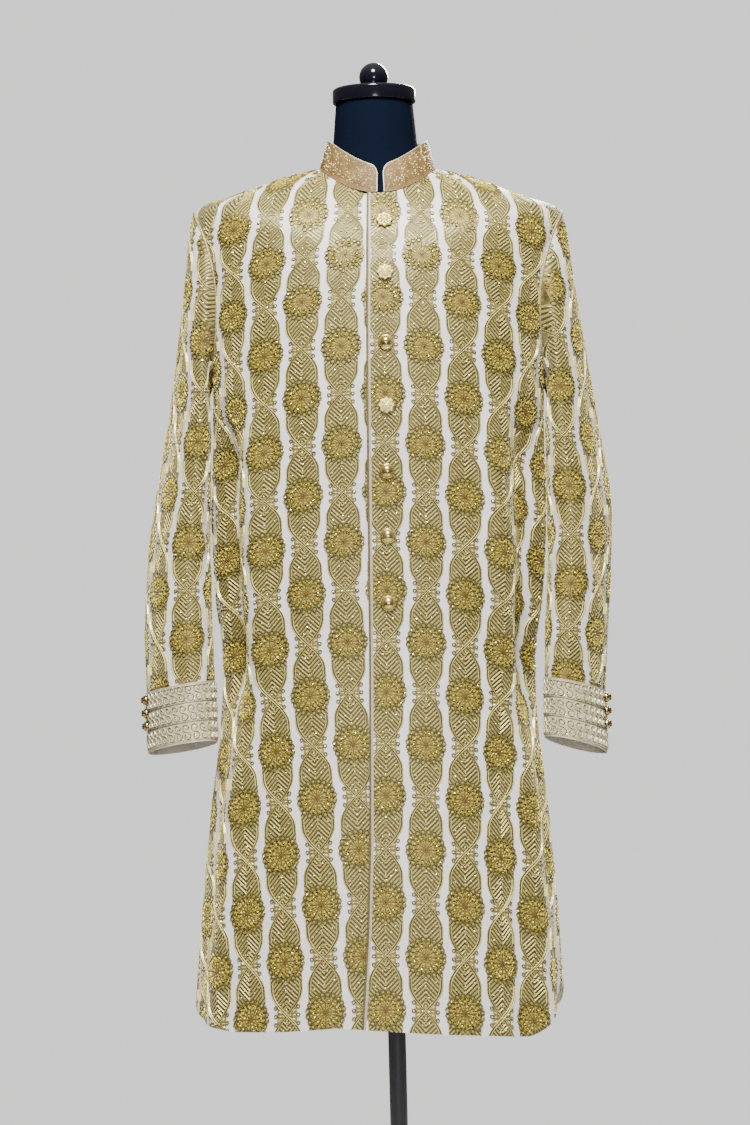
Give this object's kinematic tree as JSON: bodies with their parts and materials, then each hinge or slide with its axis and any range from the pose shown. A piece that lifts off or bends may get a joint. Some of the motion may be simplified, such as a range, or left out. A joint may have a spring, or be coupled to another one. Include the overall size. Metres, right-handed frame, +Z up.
{
  "type": "sherwani coat on a limbless dress form and stand",
  "caption": "Knee-length sherwani coat of brocade silk with a stand-up collar, lapped buttoned front and contrast cuffs, on a limbless dress form with a round stand.",
  "frame": {"origin": "on the floor, at the middle of the stand's round foot", "axes": "+Z up along the stand's pole, -Y towards the coat's front, +X towards the wearer's left"},
  "size_m": [0.5864, 0.38, 1.624],
  "materials": {
    "brocade": "ivory silk embroidered all over with gold thread, cord and sequins",
    "cuff_cloth": "ivory silk with pale gold scrollwork in stitched bands",
    "collar_cloth": "rose gold cloth with scattered sequins",
    "buttons": "antique gold, domed, with petal relief",
    "jersey": "navy black knitted cover, matte",
    "black_plastic": "glossy black",
    "black_metal": "black, satin"
  },
  "bodies": {
    "root": {"front_left": "brocade", "front_right": "brocade", "back": "brocade", "sleeve_left": "brocade", "sleeve_right": "brocade", "cuff_left": "cuff_cloth", "cuff_right": "cuff_cloth", "collar": "collar_cloth", "button_1": "buttons", "button_2": "buttons", "button_3": "buttons", "button_4": "buttons", "button_5": "buttons", "button_6": "buttons", "button_7": "buttons", "cuff_button_l1": "buttons", "cuff_button_l2": "buttons", "cuff_button_l3": "buttons", "cuff_button_r1": "buttons", "cuff_button_r2": "buttons", "cuff_button_r3": "buttons", "form_torso": "jersey", "neck_cap": "black_plastic", "knob": "black_plastic", "stand_pole": "black_metal", "stand_base": "black_metal"}
  },
  "joints": []
}
